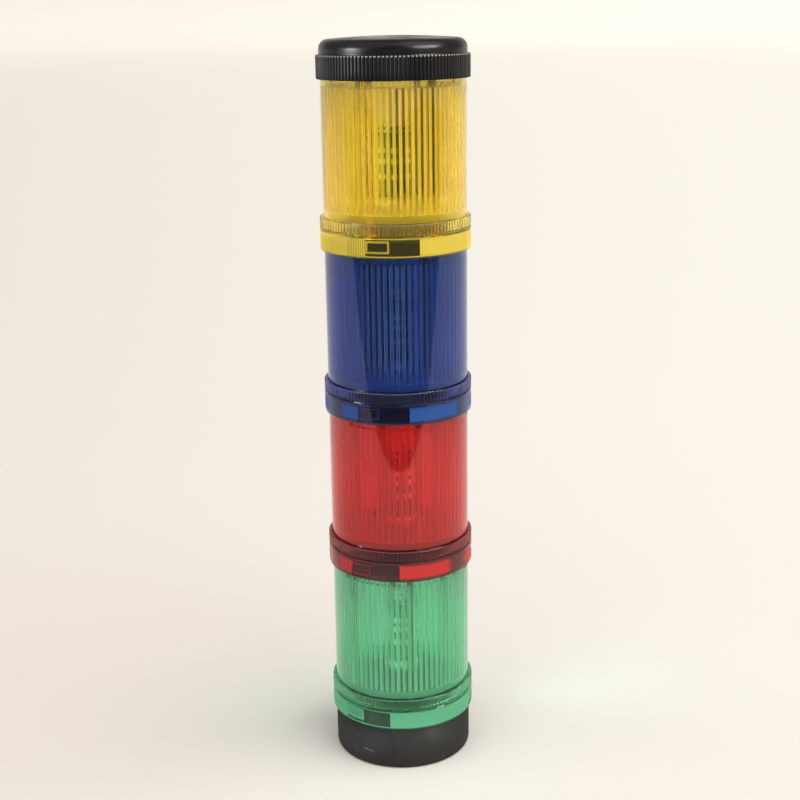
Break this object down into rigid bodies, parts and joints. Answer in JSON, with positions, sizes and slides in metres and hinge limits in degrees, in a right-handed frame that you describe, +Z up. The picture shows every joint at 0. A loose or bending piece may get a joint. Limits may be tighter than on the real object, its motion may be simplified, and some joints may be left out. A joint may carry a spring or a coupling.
{
  "type": "stack light",
  "caption": "Tall round signal tower: black base, clear ribbed lens units in green, red, blue and yellow with knurled bayonet collars, and a low domed cap.",
  "frame": {"origin": "centre of the base's underside, on the floor", "axes": "+Z up along the tower's axis; the front, as pictured, faces -Y"},
  "size_m": [0.07, 0.07, 0.3485],
  "materials": {
    "base_plastic": "satin charcoal moulding",
    "cap_plastic": "satin black moulding",
    "black_plastic": "plain black moulding",
    "ring_plastic": "plain black moulding",
    "white_plastic": "white moulding",
    "board_green": "solder mask",
    "chip_face": "phosphor under clear resin",
    "strip_metal": "stamped strip",
    "shell_metal": "nickel plated",
    "screw_metal": "zinc plated",
    "terminal_plastic": "grey moulding",
    "rubber": "plain",
    "green_clear": "clear tinted moulding with inner ribs",
    "red_clear": "clear tinted moulding with inner ribs",
    "blue_clear": "clear tinted moulding with inner ribs",
    "yellow_clear": "clear tinted moulding with inner ribs"
  },
  "bodies": {
    "base": {"base_housing": "base_plastic", "base_contact_ring": "ring_plastic", "base_contacts": "strip_metal", "terminal_block": "terminal_plastic", "terminal_screws": "screw_metal", "foot_gasket": "rubber"},
    "green_unit": {"green_lens": "green_clear", "green_collar": "green_clear", "green_seal": "rubber", "green_contact_ring": "ring_plastic", "green_bus_strips": "strip_metal", "green_contact_carrier": "black_plastic", "green_lamp_socket": "black_plastic", "green_lamp_shell": "shell_metal", "green_lamp_core": "white_plastic", "green_lamp_boards": "board_green", "green_lamp_chips": "chip_face"},
    "red_unit": {"red_lens": "red_clear", "red_collar": "red_clear", "red_seal": "rubber", "red_contact_ring": "ring_plastic", "red_bus_strips": "strip_metal", "red_contact_carrier": "black_plastic", "red_lamp_socket": "black_plastic", "red_lamp_shell": "shell_metal", "red_lamp_core": "white_plastic", "red_lamp_boards": "board_green", "red_lamp_chips": "chip_face"},
    "blue_unit": {"blue_lens": "blue_clear", "blue_collar": "blue_clear", "blue_seal": "rubber", "blue_contact_ring": "ring_plastic", "blue_bus_strips": "strip_metal", "blue_contact_carrier": "black_plastic", "blue_lamp_socket": "black_plastic", "blue_lamp_shell": "shell_metal", "blue_lamp_core": "white_plastic", "blue_lamp_boards": "board_green", "blue_lamp_chips": "chip_face"},
    "yellow_unit": {"yellow_lens": "yellow_clear", "yellow_collar": "yellow_clear", "yellow_seal": "rubber", "yellow_contact_ring": "ring_plastic", "yellow_bus_strips": "strip_metal", "yellow_contact_carrier": "black_plastic", "yellow_lamp_socket": "black_plastic", "yellow_lamp_shell": "shell_metal", "yellow_lamp_core": "white_plastic", "yellow_lamp_boards": "board_green", "yellow_lamp_chips": "chip_face"},
    "cap": {"cap": "cap_plastic", "cap_seal": "rubber"}
  },
  "joints": [
    {"name": "green_unit_twist", "type": "hinge", "parent": "base", "child": "green_unit", "pos_m": [0, 0, 0.02185], "axis": [0, 0, 1], "range_deg": [0, 30]},
    {"name": "red_unit_twist", "type": "hinge", "parent": "green_unit", "child": "red_unit", "pos_m": [0, 0, 0.09885], "axis": [0, 0, 1], "range_deg": [0, 30]},
    {"name": "blue_unit_twist", "type": "hinge", "parent": "red_unit", "child": "blue_unit", "pos_m": [0, 0, 0.17585], "axis": [0, 0, 1], "range_deg": [0, 30]},
    {"name": "yellow_unit_twist", "type": "hinge", "parent": "blue_unit", "child": "yellow_unit", "pos_m": [0, 0, 0.25285], "axis": [0, 0, 1], "range_deg": [0, 30]},
    {"name": "cap_twist", "type": "hinge", "parent": "yellow_unit", "child": "cap", "pos_m": [0, 0, 0.32985], "axis": [0, 0, 1], "range_deg": [0, 30]}
  ]
}
